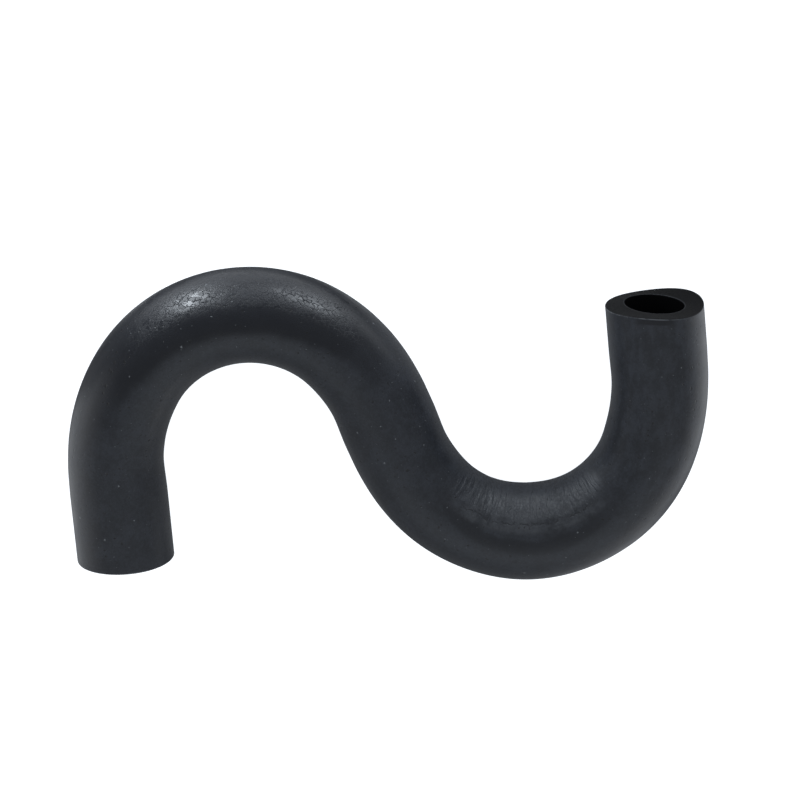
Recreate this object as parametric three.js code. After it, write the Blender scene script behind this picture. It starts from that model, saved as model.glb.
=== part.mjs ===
import * as THREE from 'three';
import { mergeVertices } from 'three/addons/utils/BufferGeometryUtils.js';

// A moulded rubber fuel hose: one thick wall with two return bends, one each way, in one plane.
// It lies flat on the plane Z = 0. Millimetres and degrees, +Z up, the long side along X.
// The hose is run from its inlet end, whose leg points along +Y, round the arch to the right,
// down the middle run, round the return bend to the left and up the outlet leg.

// Wall, sized to push over a 3/8 inch pipe stub
const outerDiameter = 15.9;
const boreDiameter = 9.5;
const edgeBreak = 0.25; // corner taken off each rim of a cut end
const cutLean = 1.4; // both ends are cut a shade off square, shorter on their outer side

// Straight lengths along the centreline
const inletLeg = 14.6;
const middleRun = 6.6;
const outletLeg = 10.6;

// Each return bend is tight round its crown and eases into the straights on both sides
const archEntryRadius = 29.5;
const archEntryAngle = 34;
const archCrownRadius = 21.3;
const archCrownAngle = 104.5;
const archExitRadius = 28.5;
const archExitAngle = 24.5;

const returnEntryRadius = 29.5;
const returnEntryAngle = 20;
const returnCrownRadius = 21.2;
const returnCrownAngle = 120.5;
const returnExitRadius = 36;
const returnExitAngle = 23;

// The section is a true round only on paper: a bend squeezes it across and spreads it in height
const legSwell = 0.2; // extra width across the straight legs
const bendSqueeze = 0.25; // width lost round a crown
const bendSpread = 0.15; // height gained round a crown
const squeezeRunOut = 6; // length over which one section changes into the other
const bulgeWidth = 0.5; // extra width where the wall bunches as the return crown starts
const bulgeFromCrownStart = 19;
const bulgeHalfLength = 12;

// Fineness of the faces
const facesAround = 36;
const degreesPerStep = 7;
const straightStep = 3.6;

const right = -1;
const left = 1;

function straight(length) {
  return { length, turn: 0, steps: Math.max(1, Math.ceil(length / straightStep)) };
}

function bend(radius, angle, side) {
  const turn = THREE.MathUtils.degToRad(angle);
  return { length: radius * turn, turn: side * turn, steps: Math.max(1, Math.round(angle / degreesPerStep)) };
}

const route = [
  straight(inletLeg),
  bend(archEntryRadius, archEntryAngle, right),
  bend(archCrownRadius, archCrownAngle, right),
  bend(archExitRadius, archExitAngle, right),
  straight(middleRun),
  bend(returnEntryRadius, returnEntryAngle, left),
  bend(returnCrownRadius, returnCrownAngle, left),
  bend(returnExitRadius, returnExitAngle, left),
  straight(outletLeg),
];

function lengthOf(runs) {
  return runs.reduce((sum, run) => sum + run.length, 0);
}

const hoseLength = lengthOf(route);
const returnCrownStart = lengthOf(route.slice(0, 6));

// Point and heading of the centreline, at a distance from the inlet end
function centrelineAt(distance) {
  let rest = THREE.MathUtils.clamp(distance, 0, hoseLength);
  let heading = Math.PI / 2;
  const point = new THREE.Vector2(0, 0);
  for (const run of route) {
    const travelled = Math.min(rest, run.length);
    const turned = run.turn * (travelled / run.length);
    const next = heading + turned;
    if (run.turn === 0) {
      point.x += travelled * Math.cos(heading);
      point.y += travelled * Math.sin(heading);
    } else {
      const radius = run.length / run.turn;
      point.x += radius * (Math.sin(next) - Math.sin(heading));
      point.y -= radius * (Math.cos(next) - Math.cos(heading));
    }
    heading = next;
    rest -= travelled;
    if (rest <= 0) break;
  }
  return { point, heading };
}

// 0 on a straight, 1 round a crown, and in between where one runs into the other
function bendShare(distance) {
  const ahead = centrelineAt(distance + squeezeRunOut / 2).heading;
  const behind = centrelineAt(distance - squeezeRunOut / 2).heading;
  return Math.min(1, (Math.abs(ahead - behind) * archCrownRadius) / squeezeRunOut);
}

function bulgeAt(distance) {
  const away = Math.abs(distance - returnCrownStart - bulgeFromCrownStart) / bulgeHalfLength;
  return away < 1 ? bulgeWidth * 0.5 * (1 + Math.cos(Math.PI * away)) : 0;
}

// Width and height of the section, as shares of the round hose
function sectionAt(distance) {
  const share = bendShare(distance);
  const width = outerDiameter + legSwell * (1 - share) - bendSqueeze * share + bulgeAt(distance);
  const height = outerDiameter + bendSpread * share;
  return { across: width / outerDiameter, upwards: height / outerDiameter };
}

// How far a rim point moves along the hose so that the end is cut at its lean
function leanAt(distance) {
  const slope = Math.tan(THREE.MathUtils.degToRad(cutLean));
  if (distance < inletLeg) return slope * (1 - distance / inletLeg);
  const toOutlet = hoseLength - distance;
  return toOutlet < outletLeg ? slope * (1 - toOutlet / outletLeg) : 0;
}

// Distances at which the wall has a ring of corners
function ringDistances() {
  const rings = [];
  let start = 0;
  for (const run of route) {
    for (let step = 0; step < run.steps; step += 1) rings.push(start + (run.length * step) / run.steps);
    start += run.length;
  }
  return rings.slice(1);
}

// The wall before it is bent: a straight tube round Y, from one cut end to the other
function straightHose() {
  const outer = outerDiameter / 2;
  const bore = boreDiameter / 2;
  const rings = ringDistances();
  const profile = [
    new THREE.Vector2(outer - edgeBreak, 0),
    new THREE.Vector2(outer, edgeBreak),
    ...rings.map((distance) => new THREE.Vector2(outer, distance)),
    new THREE.Vector2(outer, hoseLength - edgeBreak),
    new THREE.Vector2(outer - edgeBreak, hoseLength),
    new THREE.Vector2(bore + edgeBreak, hoseLength),
    new THREE.Vector2(bore, hoseLength - edgeBreak),
    ...rings.reverse().map((distance) => new THREE.Vector2(bore, distance)),
    new THREE.Vector2(bore, edgeBreak),
    new THREE.Vector2(bore + edgeBreak, 0),
    new THREE.Vector2(outer - edgeBreak, 0),
  ];
  const tube = new THREE.LatheGeometry(profile, facesAround);
  tube.deleteAttribute('normal');
  tube.deleteAttribute('uv');
  return mergeVertices(tube, 1e-4);
}

// Lays each ring of the straight tube across the centreline, at its distance along the hose
function bendAlongRoute(tube) {
  const corners = tube.getAttribute('position');
  for (let i = 0; i < corners.count; i += 1) {
    const distance = corners.getY(i);
    const { point, heading } = centrelineAt(distance);
    const section = sectionAt(distance);
    const across = corners.getX(i) * section.across; // towards the right of the run
    const along = -across * leanAt(distance);
    corners.setXYZ(
      i,
      point.x + across * Math.sin(heading) + along * Math.cos(heading),
      point.y - across * Math.cos(heading) + along * Math.sin(heading),
      corners.getZ(i) * section.upwards,
    );
  }
  return tube;
}

// Puts the middle of the hose over the origin, with its underside on Z = 0
function layOnOrigin(geometry) {
  geometry.computeBoundingBox();
  const { min, max } = geometry.boundingBox;
  geometry.translate(-(min.x + max.x) / 2, -(min.y + max.y) / 2, -min.z);
  geometry.computeVertexNormals();
  return geometry;
}

const rubber = new THREE.MeshStandardMaterial({ color: 0x2e3034, roughness: 0.55, metalness: 0 });

const fuelHose = new THREE.Mesh(layOnOrigin(bendAlongRoute(straightHose())), rubber);
fuelHose.name = 'fuel_hose';

const part = new THREE.Group();
part.add(fuelHose);

export default part;
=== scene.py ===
import math

import bpy
from mathutils import Matrix, Vector


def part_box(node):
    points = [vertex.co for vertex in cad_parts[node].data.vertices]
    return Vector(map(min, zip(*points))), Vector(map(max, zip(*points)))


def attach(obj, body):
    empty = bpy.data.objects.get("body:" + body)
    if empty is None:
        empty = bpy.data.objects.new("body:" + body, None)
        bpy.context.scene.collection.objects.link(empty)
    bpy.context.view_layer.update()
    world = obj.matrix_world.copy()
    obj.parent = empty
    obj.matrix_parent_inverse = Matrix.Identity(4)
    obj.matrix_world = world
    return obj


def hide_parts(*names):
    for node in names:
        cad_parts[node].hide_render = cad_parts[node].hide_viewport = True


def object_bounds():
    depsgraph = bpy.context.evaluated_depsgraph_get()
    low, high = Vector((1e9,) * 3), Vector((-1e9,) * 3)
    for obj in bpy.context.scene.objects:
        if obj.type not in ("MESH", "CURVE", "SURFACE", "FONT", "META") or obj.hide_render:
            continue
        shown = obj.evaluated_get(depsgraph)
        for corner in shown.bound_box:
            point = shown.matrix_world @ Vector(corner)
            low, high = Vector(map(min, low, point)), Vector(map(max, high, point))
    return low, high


# A moulded rubber fuel hose with two return bends, lying flat, in metres like the frame.

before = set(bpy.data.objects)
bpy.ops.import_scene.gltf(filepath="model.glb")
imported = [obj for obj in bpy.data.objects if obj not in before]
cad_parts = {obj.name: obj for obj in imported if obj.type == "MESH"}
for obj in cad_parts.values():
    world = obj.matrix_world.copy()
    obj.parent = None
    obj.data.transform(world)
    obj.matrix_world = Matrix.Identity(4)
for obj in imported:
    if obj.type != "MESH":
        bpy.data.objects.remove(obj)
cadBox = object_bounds()
scene = bpy.context.scene
mm = 0.001

hose = {
    "outerDiameter": 15.9 * mm,
    "boreDiameter": 9.5 * mm,
    "rimRound": 0.2 * mm,  # worn corner of each cut rim
    "legSwell": 0.2 * mm,
    "bendSqueeze": 0.25 * mm,
    "bendSpread": 0.15 * mm,
    "squeezeRunOut": 6 * mm,
    "bulgeWidth": 0.5 * mm,
    "bulgeFromCrownStart": 19 * mm,
    "bulgeHalfLength": 12 * mm,
    "crownRadius": 21.3 * mm,
    "facesAround": 144,
    "outerStep": 0.42 * mm,
    "boreStep": 1.6 * mm,
}

# The bends in order from the inlet end: length, or radius and angle, positive to the left
bendTable = [
    {"length": 14.6 * mm},
    {"radius": 29.5 * mm, "angle": -34.0},
    {"radius": 21.3 * mm, "angle": -104.5},
    {"radius": 28.5 * mm, "angle": -24.5},
    {"length": 6.6 * mm},
    {"radius": 29.5 * mm, "angle": 20.0},
    {"radius": 21.2 * mm, "angle": 120.5},
    {"radius": 36.0 * mm, "angle": 23.0},
    {"length": 10.6 * mm},
]


class Value:
    # One socket of a node tree, so that sums can be written as Python sums
    def __init__(self, tree, socket):
        self.tree = tree
        self.socket = socket

    def __add__(self, other):
        return self.tree.math("ADD", self, other)

    def __radd__(self, other):
        return self.tree.math("ADD", other, self)

    def __sub__(self, other):
        return self.tree.math("SUBTRACT", self, other)

    def __rsub__(self, other):
        return self.tree.math("SUBTRACT", other, self)

    def __mul__(self, other):
        return self.tree.math("MULTIPLY", self, other)

    def __rmul__(self, other):
        return self.tree.math("MULTIPLY", other, self)

    def __truediv__(self, other):
        return self.tree.math("DIVIDE", self, other)


class Tree:
    # A node tree with one way to add a node: its type, its settings and its sockets
    def __init__(self, nodeTree):
        self.nodeTree = nodeTree

    def node(self, kind, settings=None, sockets=None, out=0):
        made = self.nodeTree.nodes.new(kind)
        for name, setting in (settings or {}).items():
            setattr(made, name, setting)
        for name, given in (sockets or {}).items():
            if isinstance(given, Value):
                self.nodeTree.links.new(given.socket, made.inputs[name])
            else:
                made.inputs[name].default_value = given
        return Value(self, made.outputs[out]) if len(made.outputs) else made

    def math(self, operation, *operands):
        return self.node("ShaderNodeMath", {"operation": operation}, dict(enumerate(operands)))

    def vector(self, operation, *operands, out=0):
        return self.node("ShaderNodeVectorMath", {"operation": operation}, dict(enumerate(operands)), out)

    def combine(self, x, y, z):
        return self.node("ShaderNodeCombineXYZ", sockets={"X": x, "Y": y, "Z": z})

    def split(self, vector):
        outputs = self.node("ShaderNodeSeparateXYZ", sockets={"Vector": vector}).socket.node.outputs
        return [Value(self, socket) for socket in outputs]

    def scaled(self, vector, factor):
        return self.node("ShaderNodeVectorMath", {"operation": "SCALE"}, {0: vector, "Scale": factor})

    # 0 below low, 1 above high, with a soft change between; low may be the larger one
    def ease(self, value, low, high):
        limits = {"Value": value, "From Min": low, "From Max": high, "To Min": 0.0, "To Max": 1.0}
        return self.node("ShaderNodeMapRange", {"interpolation_type": "SMOOTHSTEP"}, limits)

    # 1 between two values, running out softly over fade at both ends
    def between(self, value, low, high, fade):
        return self.ease(value, low - fade, low) * self.ease(value, high + fade, high)

    def noise(self, vector, scale, detail=2.0, roughness=0.5, seed=0.0, distortion=0.0):
        sockets = {"Vector": vector, "W": seed, "Scale": scale, "Detail": detail}
        sockets.update({"Roughness": roughness, "Distortion": distortion})
        return self.node("ShaderNodeTexNoise", {"noise_dimensions": "4D"}, sockets)

    def mixed(self, factor, first, second):
        return self.node("ShaderNodeMix", {"data_type": "RGBA"}, {0: factor, 6: first, 7: second}, 2)

    # Shows a finished shader as the surface of the tree's material or world
    def show(self, shader, outputKind):
        output = self.nodeTree.nodes.new(outputKind)
        self.nodeTree.links.new(shader.socket, output.inputs["Surface"])


def emptyTree(owner):
    owner.use_nodes = True
    owner.node_tree.nodes.clear()
    return Tree(owner.node_tree)


# Route and section of the hose

def runLength(run):
    return run["length"] if "length" in run else run["radius"] * math.radians(abs(run["angle"]))


hoseLength = sum(runLength(run) for run in bendTable)
archCrownMiddle = sum(runLength(run) for run in bendTable[:2]) + runLength(bendTable[2]) / 2
returnCrownStart = sum(runLength(run) for run in bendTable[:6])
returnCrownMiddle = returnCrownStart + runLength(bendTable[6]) / 2


def centrelineAt(distance):
    rest = min(max(distance, 0.0), hoseLength)
    x, y, heading = 0.0, 0.0, math.pi / 2
    for run in bendTable:
        travelled = min(rest, runLength(run))
        if "length" in run:
            x += travelled * math.cos(heading)
            y += travelled * math.sin(heading)
        else:
            radius = math.copysign(run["radius"], run["angle"])
            turned = heading + travelled / radius
            x += radius * (math.sin(turned) - math.sin(heading))
            y -= radius * (math.cos(turned) - math.cos(heading))
            heading = turned
        rest -= travelled
        if rest <= 0:
            break
    return x, y, heading


def halfSection(distance):
    reach = hose["squeezeRunOut"] / 2
    turned = centrelineAt(distance + reach)[2] - centrelineAt(distance - reach)[2]
    share = min(1.0, abs(turned) * hose["crownRadius"] / hose["squeezeRunOut"])
    away = abs(distance - returnCrownStart - hose["bulgeFromCrownStart"]) / hose["bulgeHalfLength"]
    bulge = hose["bulgeWidth"] * (1 + math.cos(math.pi * min(away, 1.0))) / 2
    width = hose["outerDiameter"] + hose["legSwell"] * (1 - share) - hose["bendSqueeze"] * share + bulge
    height = hose["outerDiameter"] + hose["bendSpread"] * share
    return width / 2, height / 2


def spread(start, end, step):
    count = max(1, round(abs(end - start) / step))
    return [start + (end - start) * i / count for i in range(count + 1)]


def rimArc(radius, distance, startAngle, steps=5):
    corner = hose["rimRound"]
    turn = [math.radians(startAngle + 90 * i / steps) for i in range(steps + 1)]
    return [(radius + corner * math.cos(a), distance + corner * math.sin(a)) for a in turn]


# The wall's outline in the plane of radius and distance, closed, with its four rounded rims
def wallOutline():
    outer = hose["outerDiameter"] / 2
    bore = hose["boreDiameter"] / 2
    rim = hose["rimRound"]
    faceStep = 0.45 * mm
    outline = rimArc(outer - rim, rim, -90)
    outline += [(outer, s) for s in spread(rim, hoseLength - rim, hose["outerStep"])][1:-1]
    outline += rimArc(outer - rim, hoseLength - rim, 0)
    outline += [(r, hoseLength) for r in spread(outer - rim, bore + rim, faceStep)][1:-1]
    outline += rimArc(bore + rim, hoseLength - rim, 90)
    outline += [(bore, s) for s in spread(hoseLength - rim, rim, hose["boreStep"])][1:-1]
    outline += rimArc(bore + rim, rim, 180)
    outline += [(r, 0.0) for r in spread(bore + rim, outer - rim, faceStep)][1:]
    return outline


def chainObject(name, points, attributes=None):
    mesh = bpy.data.meshes.new(name)
    mesh.from_pydata(points, [(i, i + 1) for i in range(len(points) - 1)], [])
    for label, values in (attributes or {}).items():
        mesh.attributes.new(label, "FLOAT", "POINT").data.foreach_set("value", values)
    made = bpy.data.objects.new(name, mesh)
    scene.collection.objects.link(made)
    return made


# Geometry Nodes: the wall's outline is turned round the centreline and bent along it

surface = {
    "Lump Height": 0.05 * mm,
    "Wrinkle Height": 0.05 * mm,
    "Leather Height": 0.04 * mm,
    "Seed": 4.0,
}

# The ends are cut by hand, so each cut face waves a little: how far its rims stand off a square cut
cuts = {
    "Inlet Reach": 0.25 * mm,
    "Inlet Lean": 0.2 * mm,  # shorter on the outer side of the bend, at both ends
    "Outlet Reach": 0.2 * mm,
    "Outlet Lean": 0.45 * mm,
    "Outlet Bore Lean": 0.72 * mm,
    "Outlet Twist": 0.33 * mm,
    "Outlet Ripple": 0.13 * mm,
    "Cut Depth": 9 * mm,  # length of hose over which the wave of a cut dies out
}


def sweepTree(ringCount, material):
    group = bpy.data.node_groups.new("mouldedWall", "GeometryNodeTree")
    face = group.interface
    face.new_socket(name="Geometry", in_out="INPUT", socket_type="NodeSocketGeometry")
    face.new_socket(name="Wall Outline", in_out="INPUT", socket_type="NodeSocketObject")
    sizes = ["Outer Radius", "Bore Radius", "Hose Length", "Leg Length", "Arch Middle", "Return Middle"]
    for label in [*sizes, *cuts, *surface]:
        face.new_socket(name=label, in_out="INPUT", socket_type="NodeSocketFloat")
    face.new_socket(name="Faces Around", in_out="INPUT", socket_type="NodeSocketInt")
    face.new_socket(name="Geometry", in_out="OUTPUT", socket_type="NodeSocketGeometry")
    tree = Tree(group)
    given = group.nodes.new("NodeGroupInput")
    inputs = {socket.name: Value(tree, socket) for socket in given.outputs if socket.name}

    path = tree.node("GeometryNodeMeshToCurve", sockets={"Mesh": inputs["Geometry"]})
    outline = tree.node("GeometryNodeObjectInfo", sockets={"Object": inputs["Wall Outline"]}, out="Geometry")
    spokes = inputs["Faces Around"] + 1
    gridSockets = {"Size X": 1.0, "Size Y": 1.0, "Vertices X": ringCount, "Vertices Y": spokes}
    grid = tree.node("GeometryNodeMeshGrid", sockets=gridSockets)
    index = tree.node("GeometryNodeInputIndex")
    ring = tree.math("FLOOR", (index + 0.5) / spokes)
    spoke = index - ring * spokes
    place = tree.node("GeometryNodeInputPosition")
    picked = tree.node(
        "GeometryNodeSampleIndex",
        {"data_type": "FLOAT_VECTOR", "domain": "POINT"},
        {"Geometry": outline, "Value": place, "Index": ring},
    )
    radius, along = tree.split(picked)[:2]
    angle = spoke / inputs["Faces Around"] * (2 * math.pi)
    rightward = tree.math("COSINE", angle)
    upward = tree.math("SINE", angle)

    def sampled(label, out):
        attribute = tree.node("GeometryNodeInputNamedAttribute", {"data_type": "FLOAT"}, {"Name": label})
        settings = {"mode": "LENGTH", "data_type": "FLOAT", "use_all_curves": False}
        sockets = {"Curves": path, "Value": attribute, "Length": along}
        return tree.node("GeometryNodeSampleCurve", settings, sockets, out)

    centre = sampled("halfWidth", "Position")
    tangent = sampled("halfWidth", "Tangent")
    width = sampled("halfWidth", "Value") / inputs["Outer Radius"]
    height = sampled("halfHeight", "Value") / inputs["Outer Radius"]
    across = tree.vector("NORMALIZE", tree.vector("CROSS_PRODUCT", tangent, (0, 0, 1)))
    up = tree.combine(0.0, 0.0, 1.0)

    # Unevenness of the outer skin: lumps all over, folds inside the return bend, a leathery arch
    onSkin = tree.math("GREATER_THAN", radius, inputs["Outer Radius"] - 0.01 * mm)
    fromEnd = tree.math("MINIMUM", along, inputs["Hose Length"] - along)
    onSkin = onSkin * tree.ease(fromEnd, 0.3 * mm, 2.5 * mm)
    leftward = rightward * -1.0
    skinPlace = tree.combine(along, rightward * inputs["Outer Radius"], upward * inputs["Outer Radius"])
    seed = inputs["Seed"]
    lumps = (tree.noise(skinPlace, 1 / (9 * mm), 2.0, 0.5, seed) - 0.5) * inputs["Lump Height"]
    foldPlace = tree.vector("MULTIPLY", skinPlace, (1.0, 0.22, 0.22))
    folds = tree.noise(foldPlace, 1 / (1.5 * mm), 1.5, 0.5, seed + 1, 0.3) - 0.5
    inBend = tree.between(along - inputs["Return Middle"], -19 * mm, 11 * mm, 5 * mm)
    foldMask = inBend * tree.between(leftward, 0.55, 0.97, 0.2)
    leather = tree.noise(skinPlace, 1 / (1.6 * mm), 2.0, 0.6, seed + 2) - 0.5
    onArch = tree.between(along - inputs["Arch Middle"], -12 * mm, 16 * mm, 6 * mm)
    leatherMask = onArch * tree.between(leftward, 0.5, 0.97, 0.25)
    rise = lumps + folds * foldMask * inputs["Wrinkle Height"]
    rise = rise + leather * leatherMask * inputs["Leather Height"]
    lift = radius + rise * onSkin

    # The wave of the two cuts
    wallShare = (radius - inputs["Bore Radius"]) / (inputs["Outer Radius"] - inputs["Bore Radius"])
    inletShare = tree.ease(along, inputs["Leg Length"], 0.0)
    inletWave = (inputs["Inlet Reach"] + rightward * inputs["Inlet Lean"]) * inletShare * -1.0
    outletShare = tree.ease(inputs["Hose Length"] - along, inputs["Cut Depth"], 0.0)
    leanAtBore = inputs["Outlet Bore Lean"] * (1 - wallShare)
    outletLean = (inputs["Outlet Lean"] * wallShare + leanAtBore) * rightward
    twist = inputs["Outlet Twist"] * wallShare * rightward * upward * 2
    ripple = inputs["Outlet Ripple"] * wallShare * upward * (3 - upward * upward * 4)
    outletWave = (inputs["Outlet Reach"] - outletLean - twist - ripple) * outletShare

    sideways = lift * rightward * width
    corner = tree.vector("ADD", centre, tree.scaled(across, sideways))
    corner = tree.vector("ADD", corner, tree.scaled(up, lift * upward * height))
    corner = tree.vector("ADD", corner, tree.scaled(tangent, inletWave + outletWave))

    bent = tree.node("GeometryNodeSetPosition", sockets={"Geometry": grid, "Position": corner})
    kept = {"alongHose": along, "leftSide": leftward, "topSide": upward, "wallRadius": radius}
    for label, value in kept.items():
        bent = tree.node(
            "GeometryNodeStoreNamedAttribute",
            {"data_type": "FLOAT", "domain": "POINT"},
            {"Geometry": bent, "Name": label, "Value": value},
        )
    closed = tree.node("GeometryNodeMergeByDistance", sockets={"Geometry": bent, "Distance": 0.002 * mm})
    smooth = tree.node("GeometryNodeSetShadeSmooth", sockets={"Geometry": closed, "Shade Smooth": True})
    realized = tree.node("GeometryNodeRealizeInstances", sockets={"Geometry": smooth})
    finished = tree.node("GeometryNodeSetMaterial", sockets={"Geometry": realized, "Material": material})
    result = group.nodes.new("NodeGroupOutput")
    group.links.new(finished.socket, result.inputs["Geometry"])
    return group


def setInputs(modifier, values):
    for item in modifier.node_group.interface.items_tree:
        if item.in_out == "INPUT" and item.name in values:
            modifier[item.identifier] = values[item.name]


def makeHose(material):
    distances = spread(0.0, hoseLength, 0.5 * mm)
    places = [centrelineAt(s) for s in distances]
    halves = [halfSection(s) for s in distances]
    path = chainObject(
        "hoseWall",
        [(x, y, 0.0) for x, y, heading in places],
        {"halfWidth": [w for w, h in halves], "halfHeight": [h for w, h in halves]},
    )
    outline = wallOutline()
    outlineObject = chainObject("wallOutline", [(r, s, 0.0) for r, s in outline])
    modifier = path.modifiers.new("mouldedWall", "NODES")
    modifier.node_group = sweepTree(len(outline), material)
    values = {
        "Wall Outline": outlineObject,
        "Outer Radius": hose["outerDiameter"] / 2,
        "Bore Radius": hose["boreDiameter"] / 2,
        "Hose Length": hoseLength,
        "Leg Length": bendTable[0]["length"],
        "Arch Middle": archCrownMiddle,
        "Return Middle": returnCrownMiddle,
        "Faces Around": hose["facesAround"],
        **cuts,
        **surface,
    }
    setInputs(modifier, values)
    evaluated = path.evaluated_get(bpy.context.evaluated_depsgraph_get())
    mesh = bpy.data.meshes.new_from_object(evaluated)
    path.modifiers.clear()
    path.data = mesh
    bpy.data.objects.remove(outlineObject)
    layInBox(mesh, *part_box("fuel_hose"))
    return path


# Moves the mesh so that it fills the CAD node's box: middle to middle, foot to foot
def layInBox(mesh, low, high):
    xs, ys, zs = zip(*(vertex.co for vertex in mesh.vertices))
    shift = Vector((
        (low[0] + high[0] - min(xs) - max(xs)) / 2,
        (low[1] + high[1] - min(ys) - max(ys)) / 2,
        low[2] - min(zs),
    ))
    mesh.transform(Matrix.Translation(shift))


# Rubber: a dark blue-black skin with a dull bloom, glossier where the bends were stretched, and a darker band
# of painted shade along the bends where their reflections are dark

rubber = {
    "skin": (0.0085, 0.0105, 0.0150, 1),
    "bloom": (0.0178, 0.0214, 0.0292, 1),
    # the colour of painted shade, darker than the plain skin
    "clean": (0.0030, 0.0042, 0.0075, 1),
    # lighter streaks on the return bend: stress bloom, and a painted sheen on its lit side
    "stressBloomAndSheen": (0.037, 0.040, 0.046, 1),
    "cut": (0.0060, 0.0060, 0.0066, 1),
    "cutGrain": (0.0025, 0.0025, 0.0028, 1),
    "rimWear": (0.100, 0.105, 0.113, 1),
    # the bore's colour, darker than the cut rubber: painted shade inside the bore
    "boreShade": (0.0020, 0.0020, 0.0023, 1),
    "dust": (0.13, 0.14, 0.15, 1),
    "skinRoughness": 0.46,
    "archRoughness": 0.36,
    "returnRoughness": 0.6,
    "specular": 0.5,
    "cutRoughness": 0.75,
    "cutSpecular": 0.15,
    "boreSpecular": 0.02,
}

# Marks of the skin, in millimetres. A noise has its detail, roughness, seed and distortion, and may be
# stretched along or round the hose.
marks = {
    "mottle": {"size": 4.0, "noise": (3.0, 0.62, 3.0)},
    "fineMottle": {"size": 0.9, "noise": (2.0, 0.6, 5.0), "depth": 0.012},
    "grain": {"size": 0.3, "noise": (2.0, 0.6, 11.0), "depth": 0.008},
    "cutGrain": {"size": 0.35, "noise": (3.0, 0.65, 8.0), "depth": 0.05},
    "leather": {"size": 1.4, "noise": (1.5, 0.45, 12.0, 0.6), "depth": 0.045},
    "folds": {
        "size": 0.75, "stretch": (1, 0.26, 1), "noise": (1.5, 0.5, 13.0, 0.4),
        "depth": 0.2, "gloss": 0.1,
    },
    "seams": {"size": 1.2, "stretch": (0.3, 1, 1), "noise": (1.5, 0.55, 14.0, 0.8), "depth": 0.1},
    "streaks": {
        "size": 1.3, "stretch": (0.35, 1, 1), "noise": (2.0, 0.6, 23.0),
        "start": (132.0, 142.0), "share": 1.3,
    },
    "crease": {
        "size": 3.0, "noise": (2.5, 0.6, 17.0),
        "line": 0.48, "wave": 0.4, "width": (0.03, 0.004), "depth": 0.06,
    },
    "cracks": {"size": 0.72, "width": (0.15, 0.03), "depth": 0.01, "dullness": 0.38, "patchwork": 0.2},
    "shadedPits": {"size": 1.1, "radius": 0.3, "share": 0.5, "depth": 0.035},
    "dust": {"size": 3.1, "radius": 0.24, "share": 0.2},
    "fineDust": {"size": 1.6, "radius": 0.14, "share": 0.35},
}

# Zones of the skin. Along the hose: start, end and soft run-out, in millimetres from the inlet end.
# Across it, from -1 on its right side to 1 on its left: a band with its run-out, or a soft step.
# A zone's edge may bow away from a middle, with a reach and a depth, and wander with the mottle.
hoseEnd = hoseLength / mm
foldBand = (0.58, 0.93, 0.15)
zones = {
    # the arch's stretched, glossier skin, which also carries a darker band of painted shade
    "arch": {
        "along": (34.0, 67.0, 14.0), "step": (-0.28, 0.02),
        "bow": (archCrownMiddle / mm, 27, 0.42), "wander": 0.25,
    },
    "archCrown": {"along": (42.0, 66.0, 7.0), "step": (0.4, 0.62)},
    "return": {"along": (104.0, 130.0, 9.0), "step": (-0.15, 0.2)},
    # a band of painted shade along the return bend
    "returnDark": {
        "along": (104.0, 130.0, 9.0), "band": (-0.1, 0.08, 0.12),
        "bow": (120, 14, 0.2), "wander": -0.25,
    },
    # streaky stress bloom and painted sheen on the return bend's lit side
    "returnStressAndSheen": {"along": (108.0, 129.0, 9.0), "band": (0.36, 0.86, 0.12)},
    "returnLeather": {"along": (104.0, 130.0, 6.0), "step": (0.3, 0.6)},
    "firstFolds": {"along": (101.0, 112.0, 3.0), "band": foldBand},
    "allFolds": {"along": (102.0, 132.0, 3.0), "band": foldBand},
    "lastFolds": {"along": (121.0, 133.0, 4.0), "band": foldBand},
    "seams": {"along": (102.0, 130.0, 6.0), "band": (0.35, 0.56, 0.1)},
    "crease": {"along": (106.0, 130.0, 4.0)},
    # a painted shadow just under the outlet's rim
    "outletRimShadow": {"along": (hoseEnd - 1.0, hoseEnd - 0.4, 0.2), "band": (-0.15, 0.3, 0.2), "wander": 0.6},
}


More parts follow.
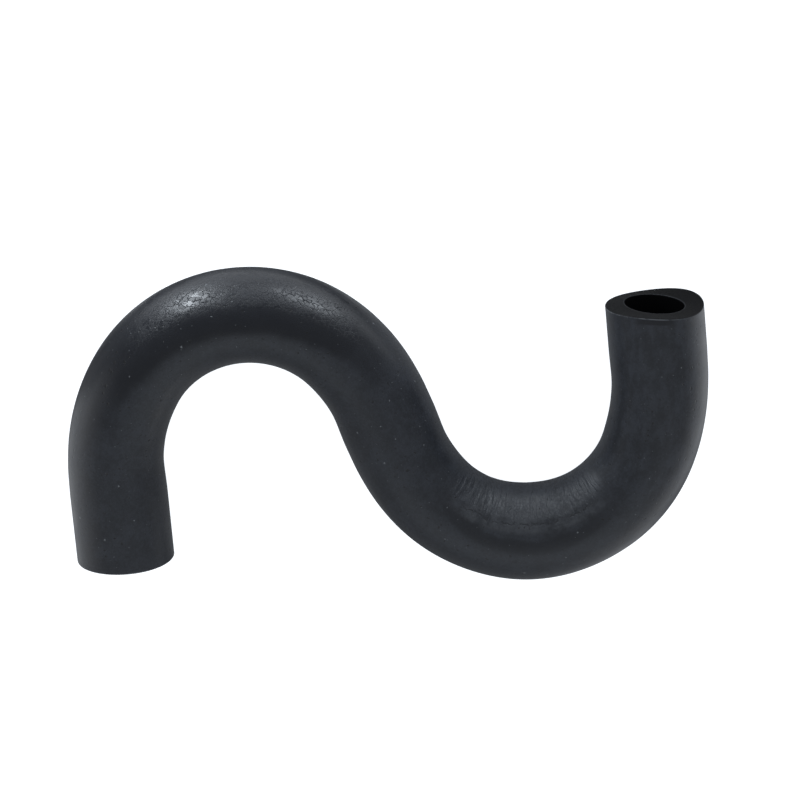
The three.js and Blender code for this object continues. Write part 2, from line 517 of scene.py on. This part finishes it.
class HoseSkin:
    # What the hose's material reads: place on the skin in millimetres, and masks for its zones and marks
    def __init__(self, tree):
        self.tree = tree
        self.place = tree.node("ShaderNodeTexCoord", out="Object")
        self.along = self.attribute("alongHose") / mm
        self.left = self.attribute("leftSide")
        outer = hose["outerDiameter"] / 2 / mm
        bore = hose["boreDiameter"] / 2 / mm
        around = tree.math("ARCTAN2", self.left, self.attribute("topSide")) * outer
        self.flat = tree.combine(self.along, around, 0.0)
        fromEnd = tree.math("MINIMUM", self.along, hoseEnd - self.along)
        radius = self.attribute("wallRadius") / mm
        self.inBore = tree.ease(radius, bore + 0.22, bore + 0.02)
        self.onCut = tree.ease(fromEnd, 0.14, 0.03) * (1 - self.inBore)
        self.onSkin = 1 - tree.math("MAXIMUM", self.inBore, self.onCut)
        self.onRim = tree.between(fromEnd, 0.06, 0.2, 0.06) * tree.ease(radius, outer - 0.3, outer - 0.08)
        boreRim = tree.between(radius, bore + 0.12, bore + 0.24, 0.06)
        self.onBoreRim = boreRim * tree.ease(fromEnd, 0.2, 0.08)
        self.mottle = self.flatNoise("mottle")
        self.fineMottle = self.flatNoise("fineMottle")
        self.grain = self.solidNoise("grain")
        self.cutGrain = self.solidNoise("cutGrain")
        self.findZones()
        self.findMarks()

    def attribute(self, name):
        return self.tree.node("ShaderNodeAttribute", {"attribute_name": name}, out="Fac")

    # A mark's noise on the skin laid flat, and in space
    def flatNoise(self, name):
        mark = marks[name]
        stretched = self.tree.vector("MULTIPLY", self.flat, mark.get("stretch", (1, 1, 1)))
        return self.tree.noise(stretched, 1 / mark["size"], *mark["noise"])

    def solidNoise(self, name):
        mark = marks[name]
        return self.tree.noise(self.place, 1 / (mark["size"] * mm), *mark["noise"])

    # The skin's flat coordinates, pushed about by up to a distance
    def pushed(self, size, distance, seed):
        x, y = [self.tree.noise(self.flat, 1 / size, 1.0, 0.5, seed + other) - 0.5 for other in (0, 31)]
        push = self.tree.combine(x * (2 * distance), y * (2 * distance), 0.0)
        return self.tree.vector("ADD", self.flat, push)

    # Cells on the skin: distance from the middle of a point's cell and the cell's shade, or from its edge
    def cells(self, place, size, feature="F1"):
        settings = {"voronoi_dimensions": "2D", "feature": feature}
        made = self.tree.node("ShaderNodeTexVoronoi", settings, {"Vector": place, "Scale": 1 / size})
        if feature != "F1":
            return made
        colour = Value(self.tree, made.socket.node.outputs["Color"])
        return made, self.tree.node("ShaderNodeSeparateColor", sockets={"Color": colour})

    # Ragged spots of up to a radius, in a share of the cells
    def spots(self, name):
        size, radius, share = [marks[name][key] for key in ("size", "radius", "share")]
        distance, shade = self.cells(self.pushed(0.35, radius, size), size)
        reach = (shade - (1 - share)) / share * (radius / size)
        return self.tree.ease(distance, reach, reach * 0.3) * self.tree.math("GREATER_THAN", reach, 0.0)

    # 1 inside a zone
    def zone(self, name):
        limits = zones[name]
        side = self.left
        if "bow" in limits:
            middle, reach, depth = limits["bow"]
            away = (self.along - middle) / reach
            side = side - away * away * depth
        if "wander" in limits:
            side = side - (self.mottle - 0.5) * limits["wander"]
        inside = self.tree.between(self.along, *limits["along"])
        if "step" in limits:
            inside = inside * self.tree.ease(side, *limits["step"])
        if "band" in limits:
            inside = inside * self.tree.between(side, *limits["band"])
        return inside

    def findZones(self):
        self.onArch = self.zone("arch")
        # Painted shade: a darker band along the arch and the return bend, where their reflections are dark
        self.clean = self.tree.math("MAXIMUM", self.onArch, self.zone("returnDark") * 0.6)
        self.leathery = self.tree.math("MAXIMUM", self.zone("archCrown"), self.zone("returnLeather") * 0.7)
        folded = self.zone("firstFolds") * 0.4 + self.zone("allFolds") * 0.55 + self.zone("lastFolds") * 1.2
        self.folded = folded * (0.5 + self.mottle)

    def findMarks(self):
        tree = self.tree
        # Pits: shallow dents whose colour is also darkened as painted shade
        self.shadedPits = self.spots("shadedPits") * tree.ease(self.mottle, 0.42, 0.62)
        self.dust = tree.math("MAXIMUM", self.spots("fineDust") * 0.5, self.spots("dust"))

        # A thin broken crease runs along the return bend, below its folds; its groove is also darkened in
        # colour as painted shade
        crease = marks["crease"]
        wave = (self.flatNoise("crease") - 0.5) * crease["wave"]
        fromCrease = tree.math("ABSOLUTE", self.left - crease["line"] + wave)
        shadedCrease = tree.ease(fromCrease, *crease["width"]) * self.zone("crease")
        self.shadedCrease = shadedCrease * tree.ease(self.fineMottle, 0.45, 0.52)

        # The stretched skin is crazed: cells of more or less gloss, with dull cracks between them
        size = marks["cracks"]["size"]
        crazed = self.pushed(0.7, 0.5, 21.0)
        cracks = tree.ease(self.cells(crazed, size, "DISTANCE_TO_EDGE"), *marks["cracks"]["width"])
        cracks = cracks * tree.ease(self.fineMottle, 0.36, 0.5)
        cracks = cracks * tree.ease(self.left + (self.mottle - 0.5) * 0.5, 0.99, 0.84)
        self.cracks = cracks * self.leathery
        self.patchwork = (self.cells(crazed, size)[1] - 0.5) * self.leathery


def skinColour(skin):
    tree = skin.tree
    streak = marks["streaks"]
    streaks = (skin.flatNoise("streaks") - 0.5) * tree.ease(skin.along, *streak["start"]) * streak["share"]
    bloom = skin.mottle + (skin.fineMottle - 0.5) * 0.6 + (skin.grain - 0.5) * 0.9 + streaks
    # Streaky stress bloom, which also paints a sheen on the return bend's lit side
    stressBloomAndSheen = skin.zone("returnStressAndSheen") * tree.ease(skin.fineMottle + skin.mottle, 0.6, 1.3)
    wear = skin.onRim * tree.ease(skin.fineMottle + (skin.mottle - 0.5), 0.3, 0.62)
    layers = [
        (tree.ease(bloom, 0.2, 0.85), "bloom"),
        # painted shade along the bends
        (skin.clean * (0.8 + skin.fineMottle * 0.3), "clean"),
        (stressBloomAndSheen * 0.8, "stressBloomAndSheen"),
        # painted shade in the pits
        (skin.shadedPits * 0.8, "boreShade"),
        (skin.dust * 0.8, "dust"),
        # painted shade in the crease
        (skin.shadedCrease * 0.6, "clean"),
        # painted shadow under the outlet's rim
        (skin.zone("outletRimShadow"), "clean"),
        (wear * tree.ease(skin.left, -0.75, -0.1) * 0.75, "rimWear"),
    ]
    colour = rubber["skin"]
    for amount, name in layers:
        colour = tree.mixed(amount, colour, rubber[name])
    return colour


def skinRoughness(skin):
    base = rubber["skinRoughness"]
    roughness = base + (skin.mottle - 0.5) * 0.2 + skin.dust * 0.3
    roughness = roughness + skin.onArch * (rubber["archRoughness"] - base)
    roughness = roughness + skin.zone("return") * (rubber["returnRoughness"] - base)
    roughness = roughness + skin.cracks * marks["cracks"]["dullness"]
    roughness = roughness + skin.patchwork * marks["cracks"]["patchwork"]
    return roughness - skin.tree.math("MINIMUM", skin.folded, 1.0) * marks["folds"]["gloss"]


# Grain all over, leather and cracks where the skin is stretched, folds and seams in the return bend
def skinHeight(skin):
    raised = {
        "grain": skin.grain,
        "fineMottle": skin.fineMottle,
        "leather": skin.flatNoise("leather") * skin.leathery,
        "folds": skin.flatNoise("folds") * skin.folded,
        "seams": skin.flatNoise("seams") * skin.zone("seams"),
        "cracks": skin.cracks * -1.0,
        "crease": skin.shadedCrease * -1.0,
        "shadedPits": skin.shadedPits * -1.0,
    }
    height = sum(share * marks[name]["depth"] for name, share in raised.items())
    return height * skin.onSkin + skin.onCut * skin.cutGrain * marks["cutGrain"]["depth"]


def hoseMaterial():
    material = bpy.data.materials.new("hoseRubber")
    tree = emptyTree(material)
    skin = HoseSkin(tree)
    bump = tree.node("ShaderNodeBump", sockets={"Strength": 1.0, "Distance": mm, "Height": skinHeight(skin)})
    cutColour = tree.mixed(skin.cutGrain, rubber["cutGrain"], rubber["cut"])
    cutColour = tree.mixed(skin.onBoreRim * skin.fineMottle * 0.3, cutColour, rubber["rimWear"])

    def shader(colour, roughness, specular, **more):
        sockets = {"Base Color": colour, "Roughness": roughness, "Specular IOR Level": specular, **more}
        return tree.node("ShaderNodeBsdfPrincipled", sockets=sockets)

    skinShader = shader(skinColour(skin), skinRoughness(skin), rubber["specular"], Normal=bump)
    cutShader = shader(cutColour, rubber["cutRoughness"], rubber["cutSpecular"], Normal=bump)
    # the bore wall carries painted shade in its darker colour
    boreShader = shader(rubber["boreShade"], rubber["cutRoughness"], rubber["boreSpecular"])
    inside = tree.node("ShaderNodeMixShader", sockets={0: skin.inBore, 1: cutShader, 2: boreShader})
    whole = tree.node("ShaderNodeMixShader", sockets={0: skin.onSkin, 1: inside, 2: skinShader})
    tree.show(whole, "ShaderNodeOutputMaterial")
    return material


# Camera: looks down on the hose, with the picture's top towards +Y

camera = {
    "tilt": 20.0,  # degrees between the line of sight and the vertical
    "roll": 4.753,  # degrees that the hose is turned in the picture
    "distance": 800 * mm,
    "pixelsPerMillimetre": 6.0952,
    "imageWidth": 800,
    "sensorWidth": 36.0,
    "inletEnd": (-45.187 * mm, -19.551 * mm, 8.025 * mm),  # middle of the inlet's cut face
    "inletToMiddle": (45.507 * mm, 27.516 * mm),  # from there to the picture's middle, unturned
}


def pictureAxes():
    turn = Matrix.Rotation(math.radians(-camera["roll"]), 3, "Z")
    tilt = math.radians(camera["tilt"])
    right = turn @ Vector((1, 0, 0))
    up = turn @ Vector((0, math.cos(tilt), -math.sin(tilt)))
    back = turn @ Vector((0, math.sin(tilt), math.cos(tilt)))
    return right, up, back


def lookedAt():
    turn = Matrix.Rotation(math.radians(-camera["roll"]), 3, "Z")
    return Vector(camera["inletEnd"]) + turn @ Vector((*camera["inletToMiddle"], 0))


def makeCamera():
    right, up, back = pictureAxes()
    data = bpy.data.cameras.new("camera")
    data.sensor_width = camera["sensorWidth"]
    focalPixels = camera["pixelsPerMillimetre"] * camera["distance"] / mm
    data.lens = focalPixels / camera["imageWidth"] * camera["sensorWidth"]
    data.clip_start = 0.01
    made = bpy.data.objects.new("camera", data)
    turn = Matrix((right, up, back)).transposed().to_4x4()
    made.matrix_world = Matrix.Translation(lookedAt() + back * camera["distance"]) @ turn
    scene.collection.objects.link(made)
    scene.camera = made


# Studio: soft boxes round the hose, lamps for the highlights of its bends, white paper and a white wall

daylight = (0.86, 0.93, 1.0)
white = (1.0, 1.0, 1.0)

# Degrees round from +X and up, metres away, width and height, glow and tint
boxes = {
    "topBox": {"towards": 82, "level": 23, "away": 0.52, "size": (0.8, 0.28), "glow": 0.7},
    "frontBox": {"towards": -90, "level": 42, "away": 0.52, "size": (0.8, 0.36), "glow": 0.6},
    "leftCard": {"towards": 186, "level": 15, "away": 0.12, "size": (0.09, 0.055), "glow": 0.4, "tint": white},
    "rightBox": {"towards": -58, "level": 4, "away": 0.52, "size": (0.3, 0.07), "glow": 2.1, "tint": white},
    "archLampLeft": {"towards": 125, "level": 12, "away": 0.092, "size": (0.016, 0.034), "glow": 18},
    "archLampRight": {"towards": 75, "level": 15, "away": 0.072, "size": (0.024, 0.026), "glow": 5.0},
    "bendLamp": {"towards": 65, "level": 6, "away": 0.52, "size": (0.3, 0.1), "glow": 5.2},
}

studio = {
    "world": 0.6,  # soft light on the object
    "cool": (0.93, 0.96, 1.0, 1),
    "ceiling": 0.3,  # what a reflection straight up shows
    "paper": 0.48,  # lit colour of the paper
    "paperGlow": 1.0,  # what the camera and reflections see of the paper besides its lit colour
    "paperLeast": 0.12,  # share of that glow in the darkest reflections
    "gapTowards": (138, 160),  # a dark gap that reflections show at the back left, in degrees from +X
    "gapFade": 15,
    "gapDepth": 0.85,
    "gapFrom": -25 * mm,  # middle of the arch, from where the gap is seen
}


def makeBox(name, towards, level, away, size, glow, tint=daylight):
    data = bpy.data.lights.new(name, "AREA")
    data.shape = "RECTANGLE"
    data.size, data.size_y = size
    data.energy = glow * math.pi * size[0] * size[1]
    data.color = tint
    made = bpy.data.objects.new(name, data)
    turn, rise = math.radians(towards), math.radians(level)
    direction = Vector((math.cos(turn) * math.cos(rise), math.sin(turn) * math.cos(rise), math.sin(rise)))
    made.location = direction * away
    made.rotation_euler = direction.to_track_quat("Z", "Y").to_euler()
    made.visible_camera = False
    scene.collection.objects.link(made)


# Rays that see the background as it is shown, and rays that reflections send out
def raysIn(tree):
    rays = tree.node("ShaderNodeLightPath").socket.node.outputs
    seenBy = [Value(tree, rays[name]) for name in ("Is Camera Ray", "Is Transmission Ray")]
    return tree.math("MAXIMUM", *seenBy), Value(tree, rays["Is Glossy Ray"])


# 1 outside the dark gap, for a direction in plan
def besideGap(tree, x, y):
    low, high = [math.radians(side) for side in studio["gapTowards"]]
    inGap = tree.between(tree.math("ARCTAN2", y, x), low, high, math.radians(studio["gapFade"]))
    return 1 - inGap * studio["gapDepth"]


def makeWorld():
    scene.world = bpy.data.worlds.new("studio")
    tree = emptyTree(scene.world)
    shown, reflected = raysIn(tree)
    x, y, z = tree.split(tree.node("ShaderNodeTexCoord", out="Generated"))
    wall = tree.ease(z, 0.15, 0.03) * tree.ease(y, -0.75, -0.3) * besideGap(tree, x, y)
    wall = wall * (1 - tree.ease(x, 0.5, 0.9) * 0.6)
    wall = studio["ceiling"] + wall * (1 - studio["ceiling"])
    strength = studio["world"] + reflected * (wall - studio["world"])
    strength = strength + shown * (1 - strength)
    tint = tree.mixed(shown, studio["cool"], (1, 1, 1, 1))
    backdrop = tree.node("ShaderNodeBackground", sockets={"Color": tint, "Strength": strength})
    tree.show(backdrop, "ShaderNodeOutputWorld")


def makeFloor():
    half = 2.5
    corners = [(-half, -half, 0), (half, -half, 0), (half, half, 0), (-half, half, 0)]
    mesh = bpy.data.meshes.new("floor")
    mesh.from_pydata(corners, [], [(0, 1, 2, 3)])
    floor = bpy.data.objects.new("floor", mesh)
    floor.location.z = -0.02 * mm
    scene.collection.objects.link(floor)
    material = bpy.data.materials.new("floorPaper")
    tree = emptyTree(material)
    shown, reflected = raysIn(tree)
    place = tree.node("ShaderNodeTexCoord", out="Object")
    x, y = tree.split(place)[:2]
    away = tree.vector("LENGTH", place, out="Value")
    side, back = x / away, y / away
    pastSide = tree.math("ABSOLUTE", x) - cadBox[1][0]
    beyond = tree.math("MAXIMUM", pastSide, tree.math("ABSOLUTE", y) - cadBox[1][1])
    outsideGap = besideGap(tree, x - studio["gapFrom"], y)

    # Reflections see the paper's glow at both sides, less behind, and little in front or between the legs
    clear = tree.ease(beyond, 1.5 * mm, 8 * mm) * (1 - tree.ease(back, 0.5, 0.9) * 0.3) * (0.97 + side * 0.11)
    clear = clear * tree.ease(back + tree.math("MINIMUM", side, 0.0) * 0.3, -1.0, -0.45) * outsideGap
    clear = studio["paperLeast"] + clear * (1 - studio["paperLeast"])
    seen = tree.math("MAXIMUM", shown, reflected * clear)

    # Its lit colour is dimmed for them in front, close round the hose and in the gap
    front = tree.ease(y, cadBox[0][1], cadBox[0][1] - 4 * mm) * tree.ease(side, 0.75, 0.35)
    near = tree.between(beyond, -1 * mm, 3 * mm, 4 * mm)
    dimmed = tree.math("MAXIMUM", front * 0.5, near * 0.8)
    dimmed = tree.math("MAXIMUM", dimmed, 0.75 - outsideGap * 0.75)
    shade = studio["paper"] * (1 - reflected * dimmed)
    paper = tree.node("ShaderNodeBsdfDiffuse", sockets={"Color": tree.combine(shade, shade, shade)})
    glowSockets = {"Color": studio["cool"], "Strength": seen * studio["paperGlow"]}
    glow = tree.node("ShaderNodeEmission", sockets=glowSockets)
    tree.show(tree.node("ShaderNodeAddShader", sockets={0: paper, 1: glow}), "ShaderNodeOutputMaterial")
    mesh.materials.append(material)


makeCamera()
hoseWall = makeHose(hoseMaterial())
print("hose wall:", len(hoseWall.data.polygons), "faces")
for name, box in boxes.items():
    makeBox(name, **box)
makeWorld()
makeFloor()
scene.view_settings.view_transform = "Standard"
print("studio: camera, lamps and floor")

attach(hoseWall, "root")
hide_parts("fuel_hose")
